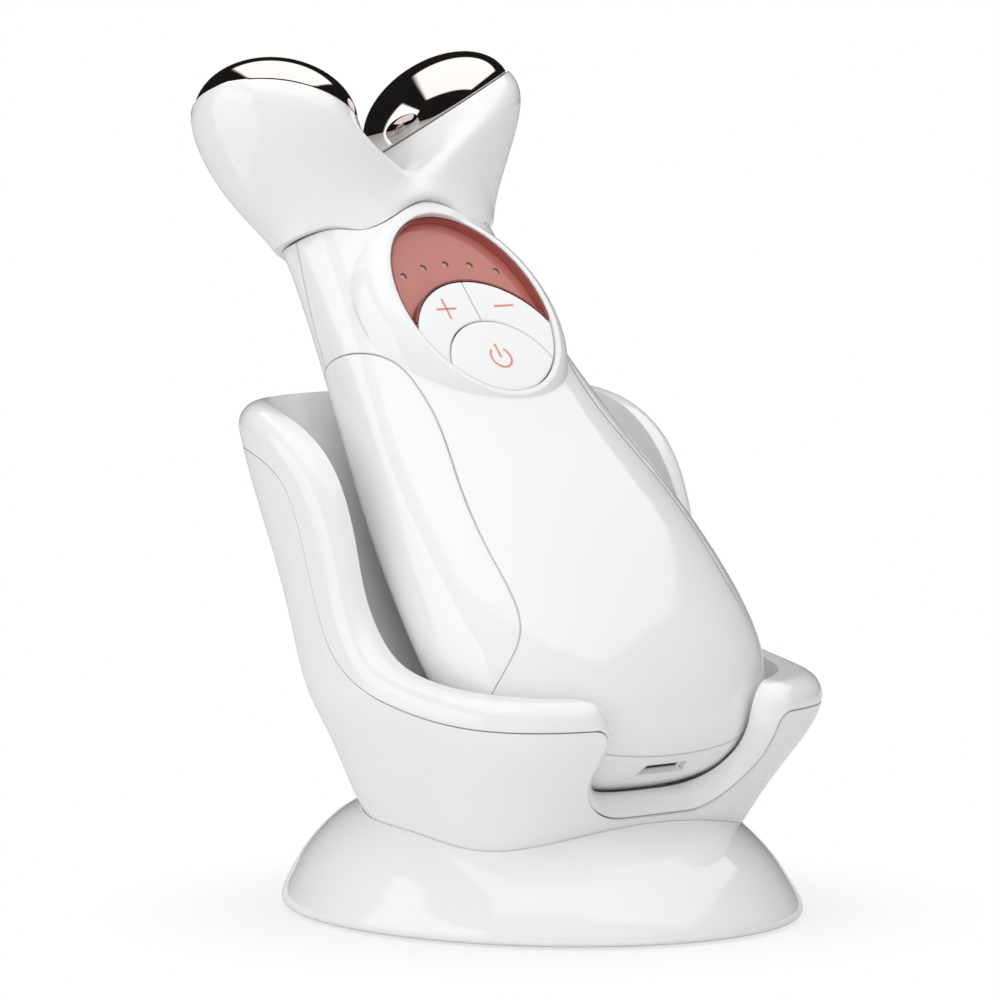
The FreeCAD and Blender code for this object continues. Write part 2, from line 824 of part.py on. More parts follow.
def seat_liner():
    low = bowl_floor_z() + shell_wall + parting_gap
    posts = seat_posts(seat_post_radius, low, rest_z + handle_back)
    skin = seat_form(liner_wall).fuse(posts).common(bowl_form(shell_wall + parting_gap))
    away = block(-far / 2, far / 2, -far / 2, far / 2, 0, far / 2).cut([seam_mouth(-parting_gap / 2), skin])
    tip = low + seat_screw_bite
    return bowl_body().cut(away).cut(seat_posts(screw_radius + screw_fit, -far, tip))


# Base

def base_form(inset):
    wires = []
    for height, shift, width, depth in base_shares:
        z = min(height * base_height, base_height - inset)
        half_depth = depth * base_half_depth - inset
        wires.append(oval_section(Vector(0, shift * base_half_depth, z), x_dir, y_dir,
                                  width * base_half_width - inset, half_depth, half_depth, ellipse_power))
    return loft(wires)


def oval_places(count, first_turn, share):
    places = []
    for i in range(count):
        angle = 2 * math.pi * (first_turn + i / count)
        places.append((share * base_half_width * math.cos(angle), share * base_half_depth * math.sin(angle)))
    return places


def plate_posts(radius, z0, z1):
    return [rod_z(radius, x, y, z0, z1)
            for x, y in oval_places(plate_screw_count, 0, plate_screw_place_share)]


def plate_top():
    return plate_z + base_plate_thickness


def base_skirt():
    outer = base_form(0)
    inner = base_form(base_wall)
    top = bowl_floor_z() - seat_gap
    deck = base_form(base_wall / 2).common(slab_z(top - deck_thickness, top))
    posts = plate_posts(post_radius, plate_top() + seat_gap, top)
    posts = [p.common(base_form(base_wall / 2)) for p in posts]
    skirt = outer.cut(inner).fuse([deck] + posts)
    holes = seat_posts(screw_radius + screw_fit, -far, far)
    pilots = plate_posts(screw_radius + screw_fit, -far, plate_top() + plate_screw_bite)
    return skirt.cut([bowl_form(-seat_gap)] + holes + pilots)


def foot_rods(radius, z0, z1):
    """Feet round the edge of the base and one under its middle."""
    places = oval_places(foot_count, foot_turn_share, foot_place_share) + [(0, 0)]
    return [rod_z(radius, x, y, z0, z1) for x, y in places]


def base_plate():
    plate = base_form(base_wall + parting_gap).common(slab_z(plate_z, plate_top()))
    pockets = foot_rods(foot_radius + seat_gap, -far, foot_height + seat_gap)
    holes = plate_posts(screw_radius + screw_fit, -far, far)
    sinks = plate_posts(screw_head_radius + seat_gap, -far, plate_z + screw_head_height / 2)
    return plate.cut(pockets + holes + sinks)


def ballast():
    z = plate_top() + seat_gap
    wire = oval_section(Vector(0, 0, z), x_dir, y_dir, base_half_width - ballast_margin,
                        base_half_depth - ballast_margin, base_half_depth - ballast_margin, ellipse_power)
    return Part.Face(wire).extrude(z_dir * ballast_thickness)


def screws_up(places, head_z, tip_z, head_height):
    screws = []
    for x, y in places:
        screws.append(rod_z(screw_head_radius, x, y, head_z - head_height, head_z).fuse(
            rod_z(screw_radius, x, y, head_z, tip_z)))
    return group(screws)


def seat_screws():
    under_deck = bowl_floor_z() - seat_gap - deck_thickness
    tip = bowl_floor_z() + shell_wall + seat_screw_bite - seat_gap
    return screws_up(seat_screw_places, under_deck - seat_gap, tip, screw_head_height)


def plate_screws():
    places = oval_places(plate_screw_count, 0, plate_screw_place_share)
    head_z = plate_z + screw_head_height / 2 - seat_gap
    return screws_up(places, head_z, plate_top() + plate_screw_bite - seat_gap, screw_head_height / 2)


def handset_pieces():
    front, back = covers()
    return {
        "front_cover": front, "back_cover": back, "left_grip": grip(-1), "right_grip": grip(1),
        "light_window": light_window(), "light_pipes": light_pipes(), "light_chips": light_chips(),
        "plus_button": key_button(-1), "minus_button": key_button(1), "power_button": power_button(),
        "tact_switches": tact_switches(), "control_board": control_board(), "inner_frame": inner_frame(),
        "battery": battery(), "case_screws": case_screws(), "charge_socket": charge_socket(),
        "neck_plate": neck_plate(), "neck_pins": neck_pins(), "head_housing": head_housing(),
        "left_electrode": electrode(-1), "right_electrode": electrode(1),
        "electrode_nuts": group([electrode_nut(-1), electrode_nut(1)]),
        "head_leads": group([head_lead(-1), head_lead(1)]), "head_plug": head_plug(),
    }


def stand_pieces():
    return {
        "outer_shell": outer_shell(), "seat_liner": seat_liner(), "base_skirt": base_skirt(),
        "base_plate": base_plate(), "ballast": ballast(), "seat_screws": seat_screws(),
        "plate_screws": plate_screws(), "foot_pads": group(foot_rods(foot_radius, 0, foot_height)),
    }


def main():
    os.makedirs("parts", exist_ok=True)
    pieces = stand_pieces()
    for name, shape in handset_pieces().items():
        pieces[name] = in_cradle(shape)
    for name, shape in pieces.items():
        print(name, shape.isValid(), len(shape.Solids), round(shape.Volume, 1))
        shape.exportStep("parts/%s.step" % name)


if __name__ == "__main__":
    main()
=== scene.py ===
"""Looks of a face lifting handset that leans in its stand.

Finishes, electrodes, key signs, painted shade in the gap by the light window, lamps, camera and
floor.
"""

import math

import bmesh
import bpy
import numpy as np
from bpy.props import FloatProperty, FloatVectorProperty, IntProperty, PointerProperty
from mathutils import Matrix, Vector


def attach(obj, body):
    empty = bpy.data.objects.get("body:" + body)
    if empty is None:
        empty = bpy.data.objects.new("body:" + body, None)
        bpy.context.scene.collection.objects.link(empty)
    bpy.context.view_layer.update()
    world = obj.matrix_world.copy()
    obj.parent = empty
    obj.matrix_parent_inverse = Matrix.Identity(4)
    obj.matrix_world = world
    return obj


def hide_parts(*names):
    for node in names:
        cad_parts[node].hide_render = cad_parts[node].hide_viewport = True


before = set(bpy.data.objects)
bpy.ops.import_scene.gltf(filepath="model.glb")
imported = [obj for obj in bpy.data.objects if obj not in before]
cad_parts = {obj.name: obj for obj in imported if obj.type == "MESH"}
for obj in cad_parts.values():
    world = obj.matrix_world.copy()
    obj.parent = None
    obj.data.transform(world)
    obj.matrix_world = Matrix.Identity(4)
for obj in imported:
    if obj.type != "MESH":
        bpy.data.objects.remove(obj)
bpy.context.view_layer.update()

bl_info = {
    "name": "Face Lifting Handset",
    "version": (1, 0, 0),
    "blender": (4, 5, 0),
    "location": "3D View > Sidebar > Handset",
    "description": "Finishes a leaning face lifting handset, its forked head and its stand",
    "category": "Object",
}

MM = 0.001
WHITE = (1.0, 1.0, 1.0, 1.0)
BLACK = (0.0, 0.0, 0.0, 1.0)

# Shading of the moulded nodes
SHARP_ANGLE = math.radians(28.0)
WELD_REACH = 0.001 * MM
BEVEL_SAMPLES = 6

# The head's fold fades out between these distances from the plane x = 0
FOLD_START = 4.0 * MM
FOLD_END = 11.0 * MM

# Steps of the curves, and the flat at a dome's top as a share of its radius
EDGE_STEPS = 8
CAP_STEPS = 72
TIP_SHARE = 0.001
BAR_STEPS = 12
RING_STEPS = 64
STUDIO_ROWS = 24
STUDIO_COLUMNS = 48

# A Mix node's kind of data, its two value sockets and its result, by number
MIX_COLOUR = ("RGBA", "6", "7", 2)
MIX_VECTOR = ("VECTOR", "4", "5", 1)


# Settings

class HandsetSizes(bpy.types.PropertyGroup):
    """Places and sizes of the handset that the added pieces follow."""

    lean: FloatProperty(
        name="Lean",
        description="Angle of the handset back from upright",
        subtype="ANGLE",
        default=math.radians(40.5),
    )
    foot: FloatVectorProperty(
        name="Foot",
        description="Bottom end of the handset on its own axis",
        subtype="TRANSLATION",
        unit="LENGTH",
        default=(0.0, -34.6 * MM, 29.74 * MM),
    )
    rim: FloatVectorProperty(
        name="Electrode rim",
        description="Middle of the right electrode's rim in the handset's own frame",
        subtype="TRANSLATION",
        unit="LENGTH",
        default=(20.6 * MM, -9.7 * MM, 150.7 * MM),
    )
    rim_in_tilt: FloatProperty(
        name="Inward tilt",
        description="Turn of each electrode towards the other",
        subtype="ANGLE",
        default=math.radians(25.0),
    )
    rim_front_tilt: FloatProperty(
        name="Front tilt",
        description="Turn of each electrode to the front",
        subtype="ANGLE",
        default=math.radians(16.0),
    )
    dome_radius: FloatProperty(
        name="Dome radius",
        description="Radius of an electrode at its rim",
        unit="LENGTH",
        default=16.1 * MM,
    )
    dome_height: FloatProperty(
        name="Dome height",
        description="Height of an electrode over its rim",
        unit="LENGTH",
        default=11.0 * MM,
    )
    dome_edge: FloatProperty(
        name="Dome edge",
        description="Rounding of an electrode's lower edge",
        unit="LENGTH",
        default=0.5 * MM,
    )
    dome_lift: FloatProperty(
        name="Dome lift",
        description="Gap under an electrode's edge",
        unit="LENGTH",
        default=0.1 * MM,
    )
    key_face: FloatProperty(
        name="Key face",
        description="Plane of the key tops, in front of the handset's axis",
        unit="LENGTH",
        default=-14.3 * MM,
    )
    key_across: FloatProperty(
        name="Key spacing",
        description="Plus and minus signs either side of the middle",
        unit="LENGTH",
        default=7.2 * MM,
    )
    key_up: FloatProperty(
        name="Key height",
        description="Height of the plus and minus signs up the handset",
        unit="LENGTH",
        default=100.5 * MM,
    )
    power_up: FloatProperty(
        name="Power height",
        description="Height of the power sign up the handset",
        unit="LENGTH",
        default=88.4 * MM,
    )
    sign_length: FloatProperty(
        name="Sign length",
        description="Length of a bar of the plus and minus signs",
        unit="LENGTH",
        default=4.9 * MM,
    )
    sign_stroke: FloatProperty(
        name="Sign stroke",
        description="Width of the printed strokes",
        unit="LENGTH",
        default=0.5 * MM,
    )
    sign_ink: FloatProperty(
        name="Ink",
        description="Thickness of the print above the key",
        unit="LENGTH",
        default=0.04 * MM,
    )
    power_ring: FloatProperty(
        name="Power ring",
        description="Radius of the power sign's ring",
        unit="LENGTH",
        default=2.35 * MM,
    )
    power_gap: FloatProperty(
        name="Power gap",
        description="Half of the gap in the power sign's ring",
        subtype="ANGLE",
        default=math.radians(38.0),
    )
    power_bar: FloatProperty(
        name="Power bar",
        description="Length of the power sign's bar",
        unit="LENGTH",
        default=3.2 * MM,
    )
    window_arc: FloatProperty(
        name="Window arc",
        description="Radius of the arc between the window and the keys",
        unit="LENGTH",
        default=18.1 * MM,
    )
    window_arc_up: FloatProperty(
        name="Window arc height",
        description="Height of that arc's middle up the handset",
        unit="LENGTH",
        default=88.9 * MM,
    )
    window_sink: FloatProperty(
        name="Window sink",
        description="Depth of the window's floor below its rim",
        unit="LENGTH",
        default=1.8 * MM,
    )
    # Width of the strip of painted shade in the gap between the window and the keys
    window_line: FloatProperty(
        name="Window line",
        description="Width of the window's lip along the arc",
        unit="LENGTH",
        default=0.35 * MM,
    )
    # The strip of painted gap shade spans this angle each side of the arc's middle
    window_turn: FloatProperty(
        name="Window turn",
        description="Half of the angle that the lip covers on the arc",
        subtype="ANGLE",
        default=math.radians(61.0),
    )
    turn_steps: IntProperty(
        name="Turn steps",
        description="Steps round a turned piece",
        default=128,
        min=16,
    )
    cover_edge: FloatProperty(
        name="Cover edge",
        description="Rounding of the edges of the covers",
        unit="LENGTH",
        default=0.5 * MM,
    )
    grip_edge: FloatProperty(
        name="Grip edge",
        description="Rounding of the edges of the grips",
        unit="LENGTH",
        default=0.3 * MM,
    )
    head_edge: FloatProperty(
        name="Head edge",
        description="Rounding of the edges of the head",
        unit="LENGTH",
        default=0.4 * MM,
    )
    head_fold: FloatProperty(
        name="Head fold",
        description="Rounding of the fold between the arms of the head",
        unit="LENGTH",
        default=4.0 * MM,
    )
    key_edge: FloatProperty(
        name="Key edge",
        description="Rounding of the edges of the keys",
        unit="LENGTH",
        default=0.2 * MM,
    )
    stand_edge: FloatProperty(
        name="Stand edge",
        description="Rounding of the edges of the stand",
        unit="LENGTH",
        default=0.4 * MM,
    )


class FinishColours(bpy.types.PropertyGroup):
    """Colours of the finishes."""

    white: FloatVectorProperty(
        name="White",
        description="Gloss mouldings of the handset",
        subtype="COLOR",
        default=(0.875, 0.88, 0.885),
    )
    stand: FloatVectorProperty(
        name="Stand white",
        description="Gloss mouldings of the stand",
        subtype="COLOR",
        default=(0.865, 0.87, 0.876),
    )
    key: FloatVectorProperty(
        name="Key white",
        description="Key caps",
        subtype="COLOR",
        default=(0.875, 0.878, 0.88),
    )
    chrome: FloatVectorProperty(
        name="Chrome",
        description="Plated electrodes",
        subtype="COLOR",
        default=(0.70, 0.655, 0.64),
    )
    window: FloatVectorProperty(
        name="Window",
        description="Tinted window round the lights",
        subtype="COLOR",
        default=(0.50, 0.165, 0.135),
    )
    # Painted shade: a darker red for the walls of the window's recess, where shade falls
    window_wall: FloatVectorProperty(
        name="Window wall",
        description="Walls of the tinted window",
        subtype="COLOR",
        default=(0.40, 0.105, 0.087),
    )
    # Painted shade: deep red for the window's rim and for the shaded gap along the keys
    window_edge: FloatVectorProperty(
        name="Window edge",
        description="Rim of the tinted window and its line along the keys",
        subtype="COLOR",
        default=(0.20, 0.025, 0.02),
    )
    ink: FloatVectorProperty(
        name="Ink",
        description="Printed signs",
        subtype="COLOR",
        default=(0.72, 0.27, 0.245),
    )
    lens: FloatVectorProperty(
        name="Lens",
        description="Ends of the light pipes",
        subtype="COLOR",
        default=(0.50, 0.40, 0.39),
    )
    steel: FloatVectorProperty(
        name="Steel",
        description="Screws, nuts and socket",
        subtype="COLOR",
        default=(0.56, 0.55, 0.54),
    )
    brass: FloatVectorProperty(
        name="Brass",
        description="Contact pins",
        subtype="COLOR",
        default=(0.78, 0.58, 0.26),
    )
    board: FloatVectorProperty(
        name="Board",
        description="Solder mask of the control board",
        subtype="COLOR",
        default=(0.02, 0.12, 0.05),
    )
    dark: FloatVectorProperty(
        name="Dark",
        description="Switch cases and rubber feet",
        subtype="COLOR",
        default=(0.03, 0.03, 0.032),
    )
    inner: FloatVectorProperty(
        name="Inner",
        description="Unpainted inner mouldings",
        subtype="COLOR",
        default=(0.6, 0.6, 0.59),
    )


class StageSettings(bpy.types.PropertyGroup):
    """Camera, lamps and floor."""

    view_turn: FloatProperty(
        name="View turn",
        description="Turn of the camera round the object",
        subtype="ANGLE",
        default=math.radians(-40.0),
    )
    view_rise: FloatProperty(
        name="View rise",
        description="Height of the camera over the horizon",
        subtype="ANGLE",
        default=math.radians(5.53),
    )
    distance: FloatProperty(
        name="Distance",
        description="From the camera to its aim",
        unit="LENGTH",
        default=1.431,
    )
    aim: FloatVectorProperty(
        name="Aim",
        description="Point that the camera looks at",
        subtype="TRANSLATION",
        unit="LENGTH",
        default=(0.0, 12.3 * MM, 78.5 * MM),
    )
    lens: FloatProperty(
        name="Lens",
        description="Focal length in millimetres",
        default=266.4,
    )
    floor: FloatVectorProperty(
        name="Floor",
        description="Colour of the floor",
        subtype="COLOR",
        default=(0.86, 0.86, 0.86),
    )
    floor_span: FloatProperty(
        name="Floor span",
        description="Half of the floor's side",
        unit="LENGTH",
        default=3.5,
    )
    shadow_start: FloatProperty(
        name="Shadow start",
        description="Distance at which the floor starts to go to plain white",
        unit="LENGTH",
        default=0.045,
    )
    shadow_reach: FloatProperty(
        name="Shadow reach",
        description="Distance at which the floor has gone to plain white",
        unit="LENGTH",
        default=0.09,
    )
    shadow_white: FloatProperty(
        name="Shadow white",
        description="Share of plain white on the floor next to the base",
        subtype="FACTOR",
        default=0.72,
    )
    studio_radius: FloatProperty(
        name="Studio radius",
        description="Radius of the dark studio seen in reflections",
        unit="LENGTH",
        default=3.0,
    )
    studio: FloatVectorProperty(
        name="Studio",
        description="Dark of the studio in reflections",
        subtype="COLOR",
        default=(0.0025, 0.002, 0.002),
    )
    softbox: FloatVectorProperty(
        name="Softbox",
        description="Colour of the softbox and panel",
        subtype="COLOR",
        default=(1.0, 0.97, 0.95),
    )
    softbox_across: FloatVectorProperty(
        name="Softbox across",
        description="Ends of the overhead softbox, left and right over its height",
        size=2,
        default=(-0.62, 1.05),
    )
    softbox_away: FloatVectorProperty(
        name="Softbox away",
        description="Ends of the overhead softbox, near and far over its height",
        size=2,
        default=(-0.65, 1.15),
    )
    softbox_share: FloatProperty(
        name="Softbox share",
        description="Strength of the overhead softbox as a share of the left panel's",
        subtype="FACTOR",
        default=0.82,
    )
    softbox_edge: FloatProperty(
        name="Softbox edge",
        description="Width of the overhead softbox's soft edge over its height",
        default=0.06,
    )
    panel_ahead: FloatVectorProperty(
        name="Panel ahead",
        description="Ends of the left panel, far and near over its distance",
        size=2,
        default=(-0.1, 1.15),
    )
    panel_up: FloatVectorProperty(
        name="Panel height",
        description="Bottom and top of the left panel over its distance",
        size=2,
        default=(-1.0, 0.8),
    )
    panel_edge: FloatProperty(
        name="Panel edge",
        description="Width of the left panel's soft edge over its distance",
        default=0.06,
    )
    panel_clear: FloatVectorProperty(
        name="Panel clearance",
        description="Distances to the left where the panel starts and is full",
        size=2,
        unit="LENGTH",
        default=(0.1, 0.2),
    )
    panel_foot: FloatVectorProperty(
        name="Panel foot",
        description="The same distances for the panel's foot on the floor",
        size=2,
        unit="LENGTH",
        default=(0.2, 0.24),
    )
    glow: FloatProperty(
        name="Glow",
        description="Strength of the softbox and panel in reflections",
        default=1.9,
    )
    top_turn: FloatProperty(
        name="Top turn",
        description="Turn of the top lamp from the camera",
        subtype="ANGLE",
        default=math.radians(115.0),
    )
    top_rise: FloatProperty(
        name="Top rise",
        description="Height of the top lamp over the horizon",
        subtype="ANGLE",
        default=math.radians(75.0),
    )
    top_side: FloatProperty(
        name="Top side",
        description="Side of the square top lamp",
        unit="LENGTH",
        default=0.7,
    )
    top_distance: FloatProperty(
        name="Top distance",
        description="From the top lamp to the camera's aim",
        unit="LENGTH",
        default=0.5,
    )
    top_power: FloatProperty(
        name="Top power",
        description="Power of the top lamp in watts",
        default=1.75,
    )
    fill: FloatProperty(
        name="Fill",
        description="Strength of the plain light from all sides",
        default=0.18,
    )
    fill_left: FloatProperty(
        name="Fill left",
        description="Strength of the further light from the left",
        default=0.8,
    )
    fill_front: FloatProperty(
        name="Fill front",
        description="Strength of the further light from the front",
        default=1.11,
    )


SETTINGS = {
    "handset_sizes": HandsetSizes,
    "finish_colours": FinishColours,
    "stage_settings": StageSettings,
}


# Shader maths

class Wire:
    """A shader socket whose operators add Math nodes."""

    def __init__(self, shader, socket):
        self.shader = shader
        self.socket = socket

    def _math(self, operation, *values):
        inputs = {str(i): value for i, value in enumerate(values)}
        return self.shader.node("ShaderNodeMath", {"operation": operation}, **inputs)

    def __add__(self, other):
        return self._math("ADD", self, other)

    def __sub__(self, other):
        return self._math("SUBTRACT", self, other)

    def __rsub__(self, other):
        return self._math("SUBTRACT", other, self)

    def __mul__(self, other):
        return self._math("MULTIPLY", self, other)

    def __truediv__(self, other):
        return self._math("DIVIDE", self, other)

    def __rtruediv__(self, other):
        return self._math("DIVIDE", other, self)

    def __abs__(self):
        return self._math("ABSOLUTE", self)

    __radd__ = __add__
    __rmul__ = __mul__

    def spread(self, low, high):
        """Goes from low to high as the value goes from 0 to 1."""
        return low + (high - low) * self

    def ramp(self, low, high):
        """Climbs smoothly from 0 at low to 1 at high."""
        return self.shader.node("ShaderNodeMapRange", {"interpolation_type": "SMOOTHSTEP"},
                                Value=self, From_Min=low, From_Max=high)

    def within(self, low, high, soft):
        """1 between low and high, with soft ends."""
        return self.ramp(low - soft, low + soft) * (1.0 - self.ramp(high - soft, high + soft))


class Nodes:
    """The node tree of a material or world and its output."""

    def __init__(self, owner, output):
        owner.use_nodes = True
        self.tree = owner.node_tree
        self.tree.nodes.clear()
        self.output = self.tree.nodes.new(output)

    def node(self, kind, settings=None, out=0, **inputs):
        """Adds a node: settings first, then values or links of its sockets, by name or number."""
        made = self.tree.nodes.new(kind)
        for name, value in (settings or {}).items():
            setattr(made, name, value)
        for name, value in inputs.items():
            self.join(made.inputs[int(name) if name.isdigit() else name.replace("_", " ")], value)
        return Wire(self, made.outputs[out])

    def join(self, socket, value):
        """Links a wire to a socket, or sets the socket's value."""
        if isinstance(value, Wire):
            self.tree.links.new(value.socket, socket)
        else:
            socket.default_value = value

    def mix(self, factor, first, second, kind=MIX_COLOUR):
        """Colour or direction from first to second by factor."""
        data_type, first_socket, second_socket, result = kind
        return self.node("ShaderNodeMix", {"data_type": data_type}, result,
                         **{"0": factor, first_socket: first, second_socket: second})

    def vector(self, operation, *vectors, out="Vector"):
        """Adds a Vector Math node."""
        inputs = {str(i): vector for i, vector in enumerate(vectors)}
        return self.node("ShaderNodeVectorMath", {"operation": operation}, out, **inputs)

    def dot(self, vector, direction):
        """Length of a vector along a direction."""
        return self.vector("DOT_PRODUCT", vector, direction, out="Value")

    def length(self, vector):
        return self.vector("LENGTH", vector, out="Value")

    def ray(self, kind):
        """1 for rays of one kind and 0 for others."""
        return self.node("ShaderNodeLightPath", out="Is %s Ray" % kind)


class Finish(Nodes):
    """A material with one main shader."""

    def __init__(self, name):
        self.material = bpy.data.materials.new(name)
        super().__init__(self.material, "ShaderNodeOutputMaterial")
        self.principled = self.tree.nodes.new("ShaderNodeBsdfPrincipled")
        self.tree.links.new(self.principled.outputs[0], self.output.inputs[0])

    def set(self, **inputs):
        """Sets or links sockets of the main shader."""
        for name, value in inputs.items():
            self.join(self.principled.inputs[name.replace("_", " ")], value)

    def place(self):
        """Place on the piece, in the frame that all pieces share."""
        return self.node("ShaderNodeTexCoord", out="Object")

    def noise(self, scale, detail=2.0):
        return self.node("ShaderNodeTexNoise", Vector=self.place(), Scale=scale, Detail=detail)

    def soft_edges(self, radius):
        """Normal that rounds the edges by a radius."""
        return self.node("ShaderNodeBevel", {"samples": BEVEL_SAMPLES}, Radius=radius)

    def blend(self, factor, first, second):
        """Unit direction from first to second by factor."""
        return self.vector("NORMALIZE", self.mix(factor, first, second, MIX_VECTOR))

    def bump(self, height, strength, distance, normal=None):
        """Normal with a fine relief on it."""
        under = {"Normal": normal} if normal else {}
        return self.node("ShaderNodeBump", Height=height, Strength=strength, Distance=distance,
                         **under)

    def glow(self, strength, factor):
        """Lays plain white light over what the surface has so far, by factor."""
        under = Wire(self, self.output.inputs[0].links[0].from_socket)
        light = self.node("ShaderNodeEmission", Color=WHITE, Strength=strength)
        mixed = self.node("ShaderNodeMixShader", **{"0": factor, "1": under, "2": light})
        self.tree.links.new(mixed.socket, self.output.inputs[0])


def rgba(colour, gain=1.0):
    """An opaque colour, made lighter or darker by a gain and kept at 1 or less."""
    return tuple(min(1.0, c * gain) for c in colour) + (1.0,)


# Places

def handset_place(sizes):
    """Carries the handset's own frame, upright with its end at the origin, into its lean."""
    return Matrix.Translation(sizes.foot) @ Matrix.Rotation(-sizes.lean, 4, "X")


def rim_place(sizes, side):
    """Carries a frame on an electrode's rim, its axis up, into the handset's own frame."""
    middle = Vector((side * sizes.rim[0], sizes.rim[1], sizes.rim[2]))
    inward = Matrix.Rotation(-side * sizes.rim_in_tilt, 4, "Y")
    forward = Matrix.Rotation(sizes.rim_front_tilt, 4, "X")
    return Matrix.Translation(middle) @ inward @ forward


# Finishes

def gloss_moulding(name, colour, edge, fold=0.0):
    """Gloss white plastic: faint flow clouding, slightly uneven gloss, a fine orange peel and
    soft edges.

    Fold is a larger radius for the edges near the plane x = 0.
    """
    s = Finish(name)
    soft = s.soft_edges(edge)
    if fold:
        aside = abs(s.dot(s.place(), (1.0, 0.0, 0.0)))
        soft = s.blend(1.0 - aside.ramp(FOLD_START, FOLD_END), soft, s.soft_edges(fold))
    cloud = s.noise(scale=28.0, detail=3.0)
    peel = s.noise(scale=420.0, detail=1.0)
    s.set(Base_Color=s.mix(cloud, rgba(colour, 0.985), rgba(colour, 1.01)),
          Roughness=s.noise(scale=140.0).spread(0.012, 0.037),
          Normal=s.bump(peel, strength=0.02, distance=0.03 * MM, normal=soft),
          IOR=1.46)
    return s.material


def plated_chrome(name, colour):
    """Polished chrome with faint wipe marks in its gloss."""
    s = Finish(name)
    s.set(Base_Color=s.mix(s.noise(scale=60.0), rgba(colour), rgba(colour, 0.96)),
          Metallic=1.0,
          Roughness=s.noise(scale=260.0, detail=4.0).spread(0.02, 0.055))
    return s.material


def tinted_window(name, colours, sizes):
    """Tinted gloss resin, a little uneven in depth of colour, with painted shade: darker walls in
    the recess, and deep red along its rim and the keys for the shaded gaps round the window.

    The rim is what faces the front above half of the window's depth. The line along the keys is
    what lies within its width of the arc, by the distance from the arc's axis.
    """
    s = Finish(name)
    place = handset_place(sizes)
    front = place.to_3x3() @ Vector((0.0, -1.0, 0.0))
    normal = s.node("ShaderNodeNewGeometry", out="Normal")
    flat = abs(s.dot(normal, front)).ramp(0.35, 0.9)
    floor_y = sizes.key_face + sizes.window_sink
    middle = place @ Vector((0.0, floor_y, sizes.window_arc_up))
    apart = s.vector("SUBTRACT", s.place(), middle)
    # Painted shade: the rim, what faces the front above half of the window's depth, is darkened
    raised = s.dot(apart, front).ramp(0.4 * sizes.window_sink, 0.6 * sizes.window_sink)
    # Painted shade: the shaded gap along the keys, within the line's width of the arc
    reach = s.length(s.vector("CROSS_PRODUCT", apart, front))
    line = 1.0 - reach.ramp(sizes.window_arc + sizes.window_line,
                            sizes.window_arc + 1.5 * sizes.window_line)
    depth = s.noise(scale=120.0, detail=3.0)
    floor = s.mix(depth, rgba(colours.window, 0.94), rgba(colours.window, 1.06))
    # Painted shade: faces that turn away from the front, the recess walls, take the darker wall
    # colour
    tint_and_shade = s.mix(flat, rgba(colours.window_wall), floor)
    grain = s.noise(scale=1500.0, detail=1.0)
    s.set(Base_Color=s.mix(flat * raised + line, tint_and_shade, rgba(colours.window_edge)),
          Roughness=s.noise(scale=400.0).spread(0.16, 0.22),
          Normal=s.bump(grain, strength=0.05, distance=0.04 * MM))
    return s.material


def printed_ink(name, colour):
    """Pad-printed ink with a fine grain."""
    s = Finish(name)
    s.set(Base_Color=s.mix(s.noise(scale=3000.0), rgba(colour, 0.95), rgba(colour, 1.05)),
          Roughness=s.noise(scale=2000.0).spread(0.35, 0.45))
    return s.material


def cloudy_plastic(name, colour, roughness, scale, metallic=0.0):
    """A plain inner finish with a cloudy tone and a grain that is finer than the clouds."""
    s = Finish(name)
    cloud = s.noise(scale, detail=4.0)
    s.set(Base_Color=s.mix(cloud, rgba(colour, 0.88), rgba(colour, 1.08)),
          Roughness=s.noise(scale * 4).spread(roughness, roughness + 0.1),
          Metallic=metallic,
          Normal=s.bump(s.noise(scale * 20), strength=0.1, distance=0.1 * MM))
    return s.material


# Meshes

def placed(points, matrix):
    """Points turned and moved by a matrix."""
    m = np.array(matrix)
    return points @ m[:3, :3].T + m[:3, 3]


def grid_faces(rows, columns):
    """Quads between the points of a grid whose columns go round and close."""
    r, c = np.meshgrid(np.arange(rows - 1), np.arange(columns), indexing="ij")
    n = (c + 1) % columns
    corners = [r * columns + c, r * columns + n, (r + 1) * columns + n, (r + 1) * columns + c]
    return np.stack(corners, -1).reshape(-1, 4).tolist()


def closed_faces(rows, columns):
    """The quads of a closed grid, with one face over its first row and one over its last."""
    first = list(range(columns))
    last = [(rows - 1) * columns + i for i in first]
    return grid_faces(rows, columns) + [first[::-1], last]


def add_mesh(name, points, faces, material, smooth=True):
    """Adds an object at the origin with the given points and faces."""
    mesh = bpy.data.meshes.new(name)
    mesh.from_pydata(points.tolist(), [], faces)
    mesh.polygons.foreach_set("use_smooth", np.full(len(mesh.polygons), smooth))
    mesh.materials.append(material)
    mesh.update()
    piece = bpy.data.objects.new(name, mesh)
    bpy.context.scene.collection.objects.link(piece)
    return piece


def outward(piece):
    """Turns all faces of a closed piece outwards."""
    work = bmesh.new()
    work.from_mesh(piece.data)
    bmesh.ops.recalc_face_normals(work, faces=work.faces)
    work.to_mesh(piece.data)
    work.free()
    return piece


def turned(profile, steps):
    """A profile of radius and height turned once about the axis: each point is the radius times
    the angle's cosine and sine, at the profile's height."""
    angle = np.linspace(0, 2 * np.pi, steps, endpoint=False)
    radius, height = profile[:, :1], np.repeat(profile[:, 1:], steps, 1)
    grid = np.stack([radius * np.cos(angle), radius * np.sin(angle), height], -1)
    return grid.reshape(-1, 3), closed_faces(len(profile), steps)


